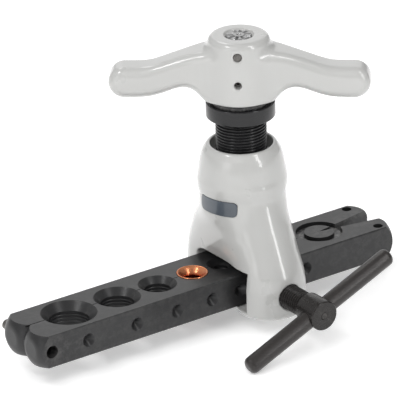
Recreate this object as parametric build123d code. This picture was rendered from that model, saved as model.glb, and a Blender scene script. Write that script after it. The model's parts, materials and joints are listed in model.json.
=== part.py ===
from build123d import *
import os
from math import sin, cos, tan, radians, pi, sqrt

# Eccentric-cone flaring tool: split die bar, slip-on yoke, screw-fed cone
# spindle under a T-handle, and a clamp screw with a tommy bar. Millimetres.
# Written files: origin = where the spindle axis meets the clamp screw axis, at
# mid-height of the die bar in its 1/4 in hole. +X runs along the die bar towards
# its pivot, +Z is up the spindle, the clamp screw comes in from -Y (the front).
# The code measures z from the bar's top face; save() lifts every piece by half
# the bar height.

os.makedirs("parts", exist_ok=True)

INCH = 25.4
BAR_W, BAR_H = 32.0, 16.0             # die bar, closed width and height
SHAFT_R = 8.0                         # drive shaft of the spindle
THREAD_PITCH, THREAD_DEPTH = 1.5, 0.85
SLEEVE_R = 11.93                      # M24 x 1.5 feed sleeve
SCREW_R = 5.93                        # M12 x 1.5 clamp screw
SCREW_Z = -BAR_H / 2
HANDLE_AZ = -38.8                     # wing direction in plan, degrees


# -------------------------------------------------------------------- helpers
UP = (Align.CENTER, Align.CENTER, Align.MIN)


def face_of(points):
    return make_face(Polyline(*points, close=True))


def turned(points, x=0.0, y=0.0):
    """Solid of revolution about a vertical axis; points are (radius, z)."""
    return Pos(x, y, 0) * revolve(Plane.XZ * face_of(points), Axis.Z, 360)


def cyl(r, z0, z1, x=0.0, y=0.0):
    return Pos(x, y, z0) * Cylinder(r, z1 - z0, align=UP)


def tube(r_out, r_in, z0, z1, x=0.0, y=0.0):
    return cyl(r_out, z0, z1, x, y) - cyl(r_in, z0 - 1, z1 + 1, x, y)


def cyl_y(r, y0, y1, x=0.0, z=0.0):
    return Pos(x, y0, z) * Rot(-90, 0, 0) * Cylinder(r, y1 - y0, align=UP)


def box(x0, x1, y0, y1, z0, z1):
    corner = (Align.MIN, Align.MIN, Align.MIN)
    return Pos(x0, y0, z0) * Box(x1 - x0, y1 - y0, z1 - z0, align=corner)


def chamfer_ends(pin, size):
    return chamfer(pin.edges().filter_by(GeomType.CIRCLE), size)


def largest_solid(shape):
    return max(shape.solids(), key=lambda solid: solid.volume)


def save(name, shape, group=False):
    """Write the largest solid of a shape, or a list of solids as a group."""
    piece = Compound(children=list(shape)) if group else largest_solid(shape)
    piece = Pos(0, 0, BAR_H / 2) * piece
    piece.label = name
    piece.color = Color(0.5, 0.5, 0.5)
    export_step(piece, f"parts/{name}.step")


def thread_profile(r, z0, z1, r_in):
    """(radius, z) outline of a screw with annular grooves in place of a helix."""
    root = r - THREAD_DEPTH
    points = [(r_in, z0), (root, z0), (r - THREAD_DEPTH * 0.35, z0 + 0.2)]
    z = z0 + 0.3
    for _ in range(int((z1 - z0 - 0.6) / THREAD_PITCH)):
        points += [(r, z + 0.10 * THREAD_PITCH), (r, z + 0.24 * THREAD_PITCH),
                   (root, z + 0.62 * THREAD_PITCH), (root, z + 0.72 * THREAD_PITCH)]
        z += THREAD_PITCH
    return points + [(r, z + 0.10 * THREAD_PITCH), (r, z1), (r_in, z1)]


# ------------------------------------------------------------------ die halves
BAR_X0, BAR_X1 = -126.0, 77.0         # crowned ends
SPLIT_GAP = 0.10                      # gap between the closed halves
# tube holes: x, bore diameter, countersink rim diameter
HOLES = [(-99.3, 0.750 * INCH, 26.4), (-72.4, 0.625 * INCH, 22.2),
         (-49.7, 0.500 * INCH, 18.4), (-29.9, 0.375 * INCH, 15.2),
         (-13.8, 0.3125 * INCH, 13.0), (0.0, 0.250 * INCH, 11.0),
         (12.7, 0.1875 * INCH, 9.0), (24.0, 0.125 * INCH, 7.0)]
SERR_PITCH, SERR_DEPTH = 1.6, 0.22    # grip rings inside the bores
# crowned end: distance in from the end, radius about the half's own axis
CROWN = [(0.0, 4.0), (0.5, 6.2), (1.9, 8.35), (4.1, 10.35), (7.2, 12.1)]
CROWN_SLOPE = 0.42
DIMPLE_D = 6.6                        # 90 degree index dimples for the clamp point
EDGE_BREAK = 0.5
PIVOT_X = 43.8
RING_RO, RING_RI = 11.2, 7.2          # annular pivot groove
GROOVE_DEPTH = 4.0
RELIEF_DEG = 10.3                     # inner-face relief beyond the pivot
STOP_X, STOP_R = -119.5, 2.5
STOP_CLEARANCE = 0.6                  # of the stop pin in the front half
ENDPIN_X, ENDPIN_Y, ENDPIN_R = 69.5, 12.4, 2.0
ENDPIN_TOP = -3.0


def hole_tool(x, bore, rim):
    """Cutter for one tube hole: countersink, grip rings, flared lower mouth."""
    r, r_rim = bore / 2, rim / 2
    depth = r_rim - r                                  # 45 degree countersink
    points = [(0, 1.0), (r_rim + 1.0, 1.0), (r, -depth)]
    z = -depth - 1.2
    while z - SERR_PITCH > -BAR_H + 1.0:
        points += [(r, z), (r + SERR_DEPTH, z - 0.30), (r + SERR_DEPTH, z - 0.45), (r, z - 0.75)]
        z -= SERR_PITCH
    points += [(r, -BAR_H + 0.6), (r + 1.6, -BAR_H - 1.0), (0, -BAR_H - 1.0)]
    return turned(points, x)


HOLE_TOOLS = [hole_tool(*hole) for hole in HOLES]


def crown_envelope(y):
    """Turned envelope of one half: rounded cones at both ends about its own axis."""
    inset, r_full = CROWN[-1]
    r_end = CROWN[0][1]
    left = Spline(*[(BAR_X0 + d, r) for d, r in CROWN], tangents=((0, 1), (1, CROWN_SLOPE)))
    right = Spline(*[(BAR_X1 - d, r) for d, r in reversed(CROWN)],
                   tangents=((1, -CROWN_SLOPE), (0, -1)))
    top = Line((BAR_X0 + inset, r_full), (BAR_X1 - inset, r_full))
    base = Polyline((BAR_X1, r_end), (BAR_X1, 0), (BAR_X0, 0), (BAR_X0, r_end))
    profile = make_face(Wire(left.edges() + right.edges().__class__(top.edges())
                             + right.edges() + base.edges()))
    return Pos(0, y, -BAR_H / 2) * revolve(profile, Axis.X, 360)


def die_half(side):
    """One half of the die bar; side is +1 for the rear half, -1 for the front."""
    y_in, y_out = side * SPLIT_GAP / 2, side * BAR_W / 2
    half = box(BAR_X0, BAR_X1, min(y_in, y_out), max(y_in, y_out), -BAR_H, 0)
    half = half & crown_envelope(side * BAR_W / 4)
    # inner-face relief beyond the pivot
    length = BAR_X1 - PIVOT_X + 5
    wedge = face_of([(PIVOT_X, -side * 1.0), (PIVOT_X, 0.0),
                     (PIVOT_X + length, side * length * tan(radians(RELIEF_DEG))),
                     (PIVOT_X + length, -side * 1.0)])
    half -= extrude(Pos(0, 0, -BAR_H - 1) * wedge, amount=BAR_H + 2, dir=(0, 0, 1))
    for tool in HOLE_TOOLS:
        half -= tool
    # pivot grooves, top and bottom
    half -= tube(RING_RO, RING_RI, -GROOVE_DEPTH, 1, PIVOT_X)
    half -= tube(RING_RO, RING_RI, -BAR_H - 1, -BAR_H + GROOVE_DEPTH, PIVOT_X)
    # small edge breaks along the outer long edges
    for z, up in ((0, 1), (-BAR_H, -1)):
        corner = Plane.YZ * face_of([(side * (BAR_W / 2 + 1), z + up),
                                     (side * (BAR_W / 2 + 1), z - up * (EDGE_BREAK + 1)),
                                     (side * (BAR_W / 2 - EDGE_BREAK - 1), z + up)])
        half -= extrude(Pos(BAR_X0 - 5, 0, 0) * corner, amount=BAR_X1 - BAR_X0 + 10, dir=(1, 0, 0))
    # index dimples on the front face
    if side < 0:
        for x, _, _ in HOLES:
            half -= (Pos(x, -BAR_W / 2, -BAR_H / 2) * Rot(-90, 0, 0)
                     * Cone(DIMPLE_D / 2, 0.01, DIMPLE_D / 2, align=UP))
    # stop pin hole near the open end, then the stepped end pin hole
    stop_hole_r = STOP_R if side > 0 else STOP_R + STOP_CLEARANCE
    half -= cyl_y(stop_hole_r, -20, 20, STOP_X, -BAR_H / 2)
    half -= cyl(ENDPIN_R, -BAR_H - 1, ENDPIN_TOP, ENDPIN_X, side * ENDPIN_Y)
    half -= cyl(ENDPIN_R + 0.35, ENDPIN_TOP, 1.0, ENDPIN_X, side * ENDPIN_Y)
    return half


save("die_half_rear", die_half(+1))
save("die_half_front", die_half(-1))


# ------------------------------------------------- hinge rings, pins and tube
RING_T, RING_SLACK, RING_LIFT = 1.95, 0.12, 0.03


def hinge_ring(z0):
    return tube(RING_RO - RING_SLACK, RING_RI + RING_SLACK, z0, z0 + RING_T, PIVOT_X)


def stop_pin():
    """Pressed in the rear half, guides the front half, stands proud behind."""
    return chamfer_ends(cyl_y(STOP_R, -9.0, 22.4, STOP_X, -BAR_H / 2), 0.6)


def end_pin(side):
    pin = cyl(ENDPIN_R, -BAR_H - 2.2, ENDPIN_TOP, ENDPIN_X, side * ENDPIN_Y)
    return chamfer_ends(pin, 0.4)


def copper_tube():
    """Flared tube stub gripped in the 3/8 in hole."""
    x, bore, _ = HOLES[3]
    r, wall, flare_z = bore / 2 - 0.02, 0.9, -2.80
    return turned([(r - wall, -15.4), (r, -15.4), (r, flare_z), (7.42, -0.12), (7.42, 0.12),
                   (7.20, 0.34), (6.92, 0.38), (6.62, 0.26),
                   (r - wall, flare_z + 0.414 * wall)], x)


save("hinge_ring_top", hinge_ring(-GROOVE_DEPTH + RING_LIFT))
save("hinge_ring_bottom", hinge_ring(-BAR_H + GROOVE_DEPTH - RING_LIFT - RING_T))
save("stop_pin", stop_pin())
save("end_pin_rear", end_pin(+1))
save("end_pin_front", end_pin(-1))
save("copper_tube", copper_tube())


# ------------------------------------------------------------------------ yoke
# outer shape by height: z, barrel radius, front leg radius and centre distance,
# rear leg radius and centre distance, blend width
YOKE_SHAPE = [
    (-20.0, 15.0, 16.8, 20.2, 16.3, 18.1, 5.0), (-6.0, 15.0, 16.8, 20.2, 16.3, 18.1, 5.5),
    (0.0, 15.1, 16.4, 19.8, 15.9, 18.2, 8.5), (5.0, 15.3, 15.8, 18.7, 15.4, 18.0, 12.5),
    (10.0, 16.2, 15.2, 17.1, 14.9, 17.1, 14.0), (15.0, 17.3, 14.6, 15.5, 14.4, 15.5, 13.0),
    (20.0, 18.5, 14.1, 13.8, 14.0, 13.3, 10.0), (26.0, 19.95, 13.7, 11.3, 13.7, 9.9, 6.0),
    (32.0, 20.3, 13.8, 9.0, 13.8, 7.6, 4.0), (35.0, 20.4, 13.9, 8.0, 13.9, 7.0, 3.2),
    (38.0, 20.95, 14.0, 7.2, 14.0, 6.4, 3.0), (41.0, 21.1, 14.0, 6.2, 14.0, 5.8, 3.0),
    (45.2, 20.5, 12.5, 4.2, 12.5, 4.2, 3.0), (51.3, 19.45, 10.0, 2.0, 10.0, 2.0, 3.0),
    (55.2, 18.3, 8.0, 1.0, 8.0, 1.0, 3.0), (56.6, 17.45, 7.0, 0.5, 7.0, 0.5, 3.0),
    (57.8, 16.65, 6.0, 0.0, 6.0, 0.0, 3.0), (58.8, 15.9, 5.0, 0.0, 5.0, 0.0, 3.0)]
YOKE_Z0 = -19.7
FOOT_R = 3.6                          # rounding of the foot edges
FOOT_ANGLES = (0, 25, 50, 72, 90)     # loft sections around that rounding
SECTION_Z = (-12.0, -7.0, -3.0, 1.0, 5.0, 9.0, 13.0, 17.0, 21.0, 25.0, 28.0, 31.0,
             34.0, 36.0, 38.0, 40.5, 44.0, 48.0, 51.5, 54.0, 55.6, 56.8, 57.8, 58.8)
CAVITY_R = 14.0
SLOT_FRONT, SLOT_REAR = -23.6, 16.2   # y of the machined slot walls
SLOT_Z0, SLOT_Z1 = -16.3, 1.2
LIP_Y = 10.2                          # lips under the bar reach in to here
# edge of the throat between the lips: x, distance out from LIP_Y
THROAT = [(10.0, 0), (12.0, 0.35), (13.6, 1.3), (14.8, 2.7), (15.6, 4.3), (16.2, 6.0), (40, 6.0)]
# cast arch over the bar: y, z
ARCH = [(SLOT_FRONT, 0), (SLOT_FRONT, 3.2), (-14.5, 3.35), (-12.0, 3.8), (-9.5, 4.2),
        (10.5, 4.2), (12.8, 3.8), (14.8, 2.8), (SLOT_REAR, 1.3), (SLOT_REAR, 0)]
CLAMP_FACE_Y = -36.4                  # floor of the clamp screw counterbore
LABEL_AZ = 196.5                      # label direction in plan, degrees
LABEL_Z0, LABEL_Z1, LABEL_W = 28.8, 36.0, 20.8
LABEL_RI, LABEL_RO = 19.5, 20.6


def height_curve(column):
    """Monotone cubic through one column of YOKE_SHAPE."""
    zs = [row[0] for row in YOKE_SHAPE]
    vals = [row[column] for row in YOKE_SHAPE]
    n = len(zs)
    rise = [(vals[i + 1] - vals[i]) / (zs[i + 1] - zs[i]) for i in range(n - 1)]
    slope = [rise[0]]
    for before, after in zip(rise, rise[1:]):
        slope.append(2 * before * after / (before + after) if before * after > 0 else 0.0)
    slope.append(rise[-1])

    def value(z):
        k = 0
        while k < n - 2 and z > zs[k + 1]:
            k += 1
        h = zs[k + 1] - zs[k]
        u = (z - zs[k]) / h
        return ((2 * u ** 3 - 3 * u ** 2 + 1) * vals[k]
                + (u ** 3 - 2 * u ** 2 + u) * h * slope[k]
                + (-2 * u ** 3 + 3 * u ** 2) * vals[k + 1] + (u ** 3 - u ** 2) * h * slope[k + 1])
    return value


YOKE_CURVES = [height_curve(i) for i in range(1, 7)]


def smooth_min(a, b, width):
    h = max(width - abs(a - b), 0.0) / width
    return min(a, b) - h * h * width * 0.25


def yoke_section(z, inset=0.0, count=36):
    """Outline of barrel and two round legs at height z, a closed smooth curve."""
    barrel_r, front_r, front_y, rear_r, rear_y, width = [curve(z) for curve in YOKE_CURVES]
    points = []
    for i in range(count):
        angle = 2 * pi * i / count
        inside, outside = 0.0, 60.0
        for _ in range(40):                            # bisect along the ray
            mid = (inside + outside) / 2
            x, y = mid * cos(angle), mid * sin(angle)
            barrel = sqrt(x * x + y * y) - barrel_r
            front = sqrt(x * x + (y + front_y) ** 2) - front_r
            rear = sqrt(x * x + (y - rear_y) ** 2) - rear_r
            if smooth_min(smooth_min(barrel, front, width), rear, width) < -inset:
                inside = mid
            else:
                outside = mid
        points.append((inside * cos(angle), inside * sin(angle)))
    return Pos(0, 0, z) * make_face(Spline(*points, periodic=True))


def label_prism(grow):
    """Rounded rectangle run outwards from the axis through the label's place."""
    az = radians(LABEL_AZ)
    plane = Plane(origin=(0, 0, (LABEL_Z0 + LABEL_Z1) / 2),
                  x_dir=(-sin(az), cos(az), 0), z_dir=(cos(az), sin(az), 0))
    outline = RectangleRounded(LABEL_W + 2 * grow, (LABEL_Z1 - LABEL_Z0) + 2 * grow, 2.2 + grow)
    return extrude(plane * outline, amount=40)


def yoke():
    sections = [yoke_section(YOKE_Z0 + FOOT_R * (1 - cos(radians(angle))),
                             FOOT_R * (1 - sin(radians(angle)))) for angle in FOOT_ANGLES]
    sections += [yoke_section(z) for z in SECTION_Z]
    body = loft(sections)
    # mouth counterbore, sleeve bore and cone cavity
    body -= cyl(14.65, 52.0, 60.0)
    body -= cyl(SLEEVE_R + 0.1, 20.0, 60.0)
    body -= cyl(CAVITY_R, -5.0, 36.0)
    # slot for the die bar and the open throat under it
    body -= box(-40, 40, SLOT_FRONT, SLOT_REAR, SLOT_Z0, SLOT_Z1)
    edge = [(x, LIP_Y + out) for x, out in THROAT]
    plan = (edge + [(x, -y) for x, y in reversed(edge)] + [(-x, -y) for x, y in edge]
            + [(-x, y) for x, y in reversed(edge)])
    body -= extrude(Pos(0, 0, -40) * face_of(plan), amount=40 + SLOT_Z0 + 0.5, dir=(0, 0, 1))
    body -= extrude(Pos(-40, 0, 0) * (Plane.YZ * face_of(ARCH)), amount=80, dir=(1, 0, 0))
    # clamp screw hole with a small counterbore
    body -= cyl_y(SCREW_R + 0.1, -45, -20, 0, SCREW_Z)
    body -= cyl_y(6.45, -45, CLAMP_FACE_Y, 0, SCREW_Z)
    # label pocket on the neck
    return body - (label_prism(0.06) & tube(26, LABEL_RI, 10, 50))


save("yoke", yoke())
save("label_plate", label_prism(0) & tube(LABEL_RO, LABEL_RI + 0.02, 10, 50))


# ------------------------------------------------------ feed sleeve and bushes
SLEEVE_Z0 = 23.9
COLLAR_R, COLLAR_Z0, COLLAR_Z1 = 16.2, 72.2, 79.7
NECK_Z = COLLAR_Z0 - 1.2              # plain neck between thread and collar
BUSH_SEAT_R = 9.4
UPPER_SEAT_Z = 70.0
LOWER_SEAT_Z = SLEEVE_Z0 + 11.1


def feed_sleeve():
    r_in, neck_r = SHAFT_R + 0.05, SLEEVE_R - 0.9
    profile = thread_profile(SLEEVE_R, SLEEVE_Z0, NECK_Z, r_in)[:-1]
    profile += [(neck_r, NECK_Z), (neck_r, COLLAR_Z0), (COLLAR_R - 0.8, COLLAR_Z0),
                (COLLAR_R, COLLAR_Z0 + 0.8), (COLLAR_R, COLLAR_Z1 - 0.5),
                (COLLAR_R - 0.5, COLLAR_Z1), (r_in, COLLAR_Z1)]
    sleeve = turned(profile)
    sleeve -= cyl(BUSH_SEAT_R, UPPER_SEAT_Z, 81.0)
    return sleeve - cyl(BUSH_SEAT_R, SLEEVE_Z0 - 1.0, LOWER_SEAT_Z)


def sleeve_bush(z0, z1):
    return tube(BUSH_SEAT_R - 0.02, SHAFT_R + 0.03, z0, z1)


save("feed_sleeve", feed_sleeve())
save("sleeve_bush_upper", sleeve_bush(UPPER_SEAT_Z + 0.02, COLLAR_Z1 - 0.1))
save("sleeve_bush_lower", sleeve_bush(SLEEVE_Z0 + 0.1, LOWER_SEAT_Z - 0.02))


# ---------------------------------------------------------------------- clutch
CLUTCH_R, BALL_R = 11.2, 2.0          # ball circle and balls
RACE_TOP = COLLAR_Z1 + 1.7
BALL_Z = RACE_TOP + 1.35
POCKET_TOP = 96.0
SPRING_R, WIRE_R, SPRING_TURNS, SPRING_GAP = 1.45, 0.32, 7.0, 0.04
CLUTCH_XY = [(CLUTCH_R * cos(radians(45 + 90 * i + HANDLE_AZ)),
              CLUTCH_R * sin(radians(45 + 90 * i + HANDLE_AZ))) for i in range(4)]


def clutch_race_ring():
    """Ring on top of the collar, with a ball track."""
    race = tube(14.6, 8.1, COLLAR_Z1 + 0.01, RACE_TOP)
    track = Plane.XZ * (Pos(CLUTCH_R, BALL_Z) * Circle(BALL_R + 0.04))
    return race - revolve(track, Axis.Z, 360)


def clutch_springs():
    """Helical coils above the balls."""
    z0 = BALL_Z + BALL_R + WIRE_R + SPRING_GAP
    height = POCKET_TOP - WIRE_R - SPRING_GAP - z0
    helix = Helix(pitch=height / SPRING_TURNS, height=height, radius=SPRING_R)
    wire = Plane(origin=helix @ 0, z_dir=helix % 0) * Circle(WIRE_R)
    spring = sweep(wire, path=helix, is_frenet=True)
    return [largest_solid(Pos(x, y, z0) * spring) for x, y in CLUTCH_XY]


save("clutch_race_ring", clutch_race_ring())
save("clutch_balls", [Pos(x, y, BALL_Z) * Sphere(BALL_R) for x, y in CLUTCH_XY], group=True)
save("clutch_springs", clutch_springs(), group=True)


# -------------------------------------------------------------------- T-handle
HUB_Z0, HUB_Z1 = 81.9, 112.3
# hub outline: radius, z
HUB = [(0, HUB_Z0), (15.5, HUB_Z0), (16.3, HUB_Z0 + 0.8), (16.2, 86.0), (14.42, 109.4),
       (14.22, 110.5), (13.65, 111.45), (12.75, 112.08), (11.6, HUB_Z1), (0, HUB_Z1)]
# wing: distance from the axis, half thickness, top z, bottom z
WING = [(5.0, 10.2, 106.6, 82.5), (10.0, 10.2, 106.5, 82.5), (14.0, 10.1, 106.3, 82.6),
        (16.4, 9.7, 106.05, 83.0), (18.2, 9.3, 105.75, 84.0), (20.5, 8.8, 105.2, 86.0),
        (23.3, 8.4, 104.35, 87.4), (26.0, 8.15, 103.45, 87.75), (29.0, 8.0, 102.4, 87.25),
        (33.0, 7.9, 101.0, 85.8), (37.0, 7.85, 99.55, 84.35), (41.6, 7.85, 98.25, 83.15),
        (46.0, 7.9, 97.75, 82.7), (50.0, 8.0, 97.65, 82.65), (53.2, 8.0, 97.65, 82.65)]
WING_END_R, WING_EDGE_R = 7.45, 5.4   # end rounding and edge rounding
WING_END_ANGLES = (22, 40, 55, 68, 79, 86)
SHAFT_TOP_R = 6.0                     # reduced shaft end inside the hub
SHOULDER_Z = 86.0
PIN_Z, PIN_R = 106.2, 2.0
GRUB_Z, GRUB_R, GRUB_END = 92.7, 1.75, 12.2


def turn_square(shape):
    """Turn a shape that lies along +Y square to the wings, towards the front."""
    return Rot(0, 0, HANDLE_AZ + 180) * shape


def cyl_square(r, start, end, z):
    """Cylinder square to the wings between two distances from the spindle axis."""
    return turn_square(cyl_y(r, start, end, 0, z))


def wing():
    rows = [(along, half_t, (top + bottom) / 2, (top - bottom) / 2, WING_EDGE_R)
            for along, half_t, top, bottom in WING]
    end, end_t, end_z, end_h, _ = rows[-1]
    for angle in WING_END_ANGLES:
        inset = WING_END_R * (1 - cos(radians(angle)))
        half_t, half_h = end_t - inset, end_h - inset
        rows.append((end + WING_END_R * sin(radians(angle)), half_t, end_z, half_h,
                     min(WING_EDGE_R, 0.72 * min(half_t, half_h))))
    return loft([Plane(origin=(along, 0, z), x_dir=(0, 1, 0), z_dir=(1, 0, 0))
                 * RectangleRounded(2 * half_t, 2 * half_h, edge_r)
                 for along, half_t, z, half_h, edge_r in rows])


def t_handle():
    one_wing = wing()
    handle = Rot(0, 0, HANDLE_AZ) * (turned(HUB) + one_wing + Rot(0, 0, 180) * one_wing)
    # shaft bore, recess round the serrated end, lower relief
    handle -= cyl(SHAFT_TOP_R + 0.01, 80, 120)
    handle -= cyl(6.9, HUB_Z1 - 0.8, 120)
    handle -= cyl(SHAFT_R + 0.05, 80, SHOULDER_Z)
    for x, y in CLUTCH_XY:
        handle -= cyl(BALL_R + 0.06, 80, POCKET_TOP, x, y)
    handle -= cyl_square(PIN_R, -20, 20, PIN_Z)
    return handle - cyl_square(GRUB_R, 0, 20, GRUB_Z)


def handle_grub_screw():
    screw = cyl_square(GRUB_R - 0.02, SHAFT_TOP_R - 0.8, GRUB_END, GRUB_Z)
    socket = Pos(0, 0, -1.5) * extrude(RegularPolygon(1.0, 6), amount=3)
    return screw - turn_square(Pos(0, GRUB_END, GRUB_Z) * Rot(-90, 0, 0) * socket)


save("t_handle", t_handle())
save("handle_cross_pin", chamfer_ends(cyl_square(PIN_R, -14.4, 14.4, PIN_Z), 0.3))
save("handle_grub_screw", handle_grub_screw())


# ----------------------------------------------------------- eccentric spindle
ECC = 1.0                             # offset of the cone axis, along the wings
CONE_X, CONE_Y = ECC * cos(radians(HANDLE_AZ)), ECC * sin(radians(HANDLE_AZ))
FLANGE_R, FLANGE_Z0, FLANGE_Z1 = 13.2, 16.6, 22.2
SHAFT_TOP = HUB_Z1 - 0.1
BUSH_TOP = 36.0                       # top of the cone bush bore


def eccentric_spindle():
    """Drive shaft and flange, with an offset bore for the cone."""
    shoulder = SHOULDER_Z - 0.1
    shaft = turned([(0, FLANGE_Z0), (FLANGE_R - 0.6, FLANGE_Z0), (FLANGE_R, FLANGE_Z0 + 0.6),
                    (FLANGE_R, FLANGE_Z1 - 0.6), (FLANGE_R - 0.6, FLANGE_Z1),
                    (SHAFT_R, FLANGE_Z1), (SHAFT_R, 85.5), (7.5, shoulder),
                    (SHAFT_TOP_R, shoulder), (SHAFT_TOP_R, SHAFT_TOP - 0.4),
                    (SHAFT_TOP_R - 0.4, SHAFT_TOP), (0, SHAFT_TOP)])
    # bush bore, stem bore and snap ring groove
    shaft -= cyl(5.5, FLANGE_Z0 - 4, BUSH_TOP, CONE_X, CONE_Y)
    shaft -= cyl(4.4, BUSH_TOP - 1, BUSH_TOP + 8.4, CONE_X, CONE_Y)
    shaft -= tube(5.05, 4.0, BUSH_TOP + 1.6, BUSH_TOP + 2.7, CONE_X, CONE_Y)
    # serrated end: ten radial V grooves and a centre hole
    for i in range(10):
        groove = Pos(4.8, 0, SHAFT_TOP) * Rot(45, 0, 0) * Box(4.6, 1.15, 1.15)
        shaft -= Rot(0, 0, 36 * i + 7) * groove
    shaft -= turned([(0, SHAFT_TOP - 1.2), (1.3, SHAFT_TOP + 0.1), (0, SHAFT_TOP + 0.1)])
    shaft -= cyl_square(PIN_R, -20, 20, PIN_Z)
    return shaft - cyl_square(GRUB_R + 0.3, SHAFT_TOP_R - 1.0, 20, GRUB_Z)


save("eccentric_spindle", eccentric_spindle())
save("spindle_thrust_washer", tube(12.4, SHAFT_R + 0.08, FLANGE_Z1 + 0.02, SLEEVE_Z0 - 0.03))


# --------------------------------------------------- cone, on the offset axis
CONE_TIP_Z, CONE_R = 1.0, 12.6
STEM_R, STEM_TOP = 4.0, BUSH_TOP + 5.0
THRUST_BALL_Z = STEM_TOP + 1.70


def flaring_cone():
    tip, back = CONE_TIP_Z, FLANGE_Z0 - 0.3
    step = FLANGE_Z0 - 0.05
    cone = turned([(0, tip), (0.5, tip + 0.15), (1.0, tip + 0.6),
                   (CONE_R - 0.4, tip + CONE_R - 0.8), (CONE_R, tip + CONE_R),
                   (CONE_R, FLANGE_Z0 - 1.0), (CONE_R - 0.7, back), (6.2, back), (6.2, step),
                   (5.3, step), (5.3, FLANGE_Z0 + 0.8), (STEM_R, FLANGE_Z0 + 0.8),
                   (STEM_R, STEM_TOP - 3.3), (3.55, STEM_TOP - 3.3), (3.55, STEM_TOP - 2.4),
                   (STEM_R, STEM_TOP - 2.4), (STEM_R, STEM_TOP - 0.4), (3.6, STEM_TOP),
                   (0, STEM_TOP)], CONE_X, CONE_Y)
    return cone - Pos(CONE_X, CONE_Y, THRUST_BALL_Z) * Sphere(1.74)


def cone_snap_ring():
    ring = tube(4.95, 3.6, STEM_TOP - 3.2, STEM_TOP - 2.5, CONE_X, CONE_Y)
    gap = box(0.0, 8.0, -0.8, 0.8, STEM_TOP - 4, STEM_TOP - 1)
    return ring - Pos(CONE_X, CONE_Y, 0) * Rot(0, 0, 30) * gap


save("cone_bush", tube(5.48, STEM_R + 0.03, FLANGE_Z0 + 0.9, BUSH_TOP - 0.02, CONE_X, CONE_Y))
save("flaring_cone", flaring_cone())
save("cone_snap_ring", cone_snap_ring())
save("cone_thrust_ball", Pos(CONE_X, CONE_Y, THRUST_BALL_Z) * Sphere(1.62))


# ----------------------------------------------------------------- clamp screw
HEAD_R, HEAD_Y0, HEAD_Y1 = 7.2, -62.9, -50.0
NOSE_Y = -28.1                        # end of the clamp screw
STEM_Y, TIP_Y = -35.4, -23.4          # clamp point: stem end and apex
TOMMY_R, TOMMY_L, TOMMY_Y, TOMMY_TILT = 4.2, 88.5, -57.4, -22.5
TOMMY_OFF = 1.0                       # tommy bar off centre at rest
TOMMY_GAP = 0.15                      # radial slack of the cross hole


def lay_on_screw(shape, y):
    """Lay a shape built up +Z along the screw axis, its z = 0 at y."""
    return Pos(0, y, SCREW_Z) * (Rot(-90, 0, 0) * shape)


def place_tommy(shape):
    return Pos(0, TOMMY_Y, SCREW_Z) * (Rot(0, TOMMY_TILT, 0) * shape)


def cyl_x(r, x0, x1):
    return Pos(x0, 0, 0) * Rot(0, 90, 0) * Cylinder(r, x1 - x0, align=UP)


def clamp_screw():
    head, root = HEAD_Y1 - HEAD_Y0, SCREW_R - THREAD_DEPTH
    profile = [(0, -head), (HEAD_R - 0.7, -head), (HEAD_R, -head + 0.7), (HEAD_R, -0.6),
               (HEAD_R - 0.6, 0.0), (root, 0.0), (root, 1.0)]
    profile += thread_profile(SCREW_R, 1.0, NOSE_Y - HEAD_Y1, 0.0)[2:]
    screw = lay_on_screw(turned(profile), HEAD_Y1)
    # socket for the point, cross hole, and plug bore from the end face
    screw -= cyl_y(2.55, -35.6, -20.0, 0, SCREW_Z)
    screw -= place_tommy(cyl_x(TOMMY_R + TOMMY_GAP, -20, 20))
    return screw - cyl_y(1.62, HEAD_Y0 - 1, TOMMY_Y, 0, SCREW_Z)


def tommy_bar():
    bar = cyl_x(TOMMY_R, TOMMY_OFF - TOMMY_L / 2, TOMMY_OFF + TOMMY_L / 2)
    bar = Rot(37, 0, 0) * bar                          # turns the seam about the bar's axis
    return place_tommy(fillet(bar.edges().filter_by(GeomType.CIRCLE), 2.6))


def friction_plug():
    """Plug that faces the tommy bar, all but flush in the end face."""
    return cyl_y(1.6, HEAD_Y0 + 0.02, TOMMY_Y - TOMMY_R - 0.04, 0, SCREW_Z)


def clamp_point():
    """Swivelling point in the nose of the screw."""
    length = TIP_Y - STEM_Y
    shoulder = NOSE_Y + 0.05 - STEM_Y                  # faces the screw's nose
    return lay_on_screw(turned([(0, 0), (2.1, 0), (2.5, 0.4), (2.5, shoulder), (3.2, shoulder),
                                (3.2, length - 3.2), (0.3, length - 0.3), (0, length - 0.2)]),
                        STEM_Y)


save("clamp_screw", clamp_screw())
save("tommy_bar", tommy_bar())
save("tommy_friction_plug", friction_plug())
save("clamp_point", clamp_point())
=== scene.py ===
"""Tube flaring tool: a split die bar, a yoke astride it and a T-handle above.

The bar lies along X and splits at y = 0. The yoke, feed sleeve and handle share the vertical axis
x = y = 0. The clamp screw lies along Y with its head in front (-Y), crossed by a tilted tommy bar,
and a flared copper tube stands in the bar. Shapes are in millimetres, and so are their distance
fields; the stage, lights and camera are in metres.
"""
import json
import math

import bpy
import numpy as np
from mathutils import Matrix, Vector


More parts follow.
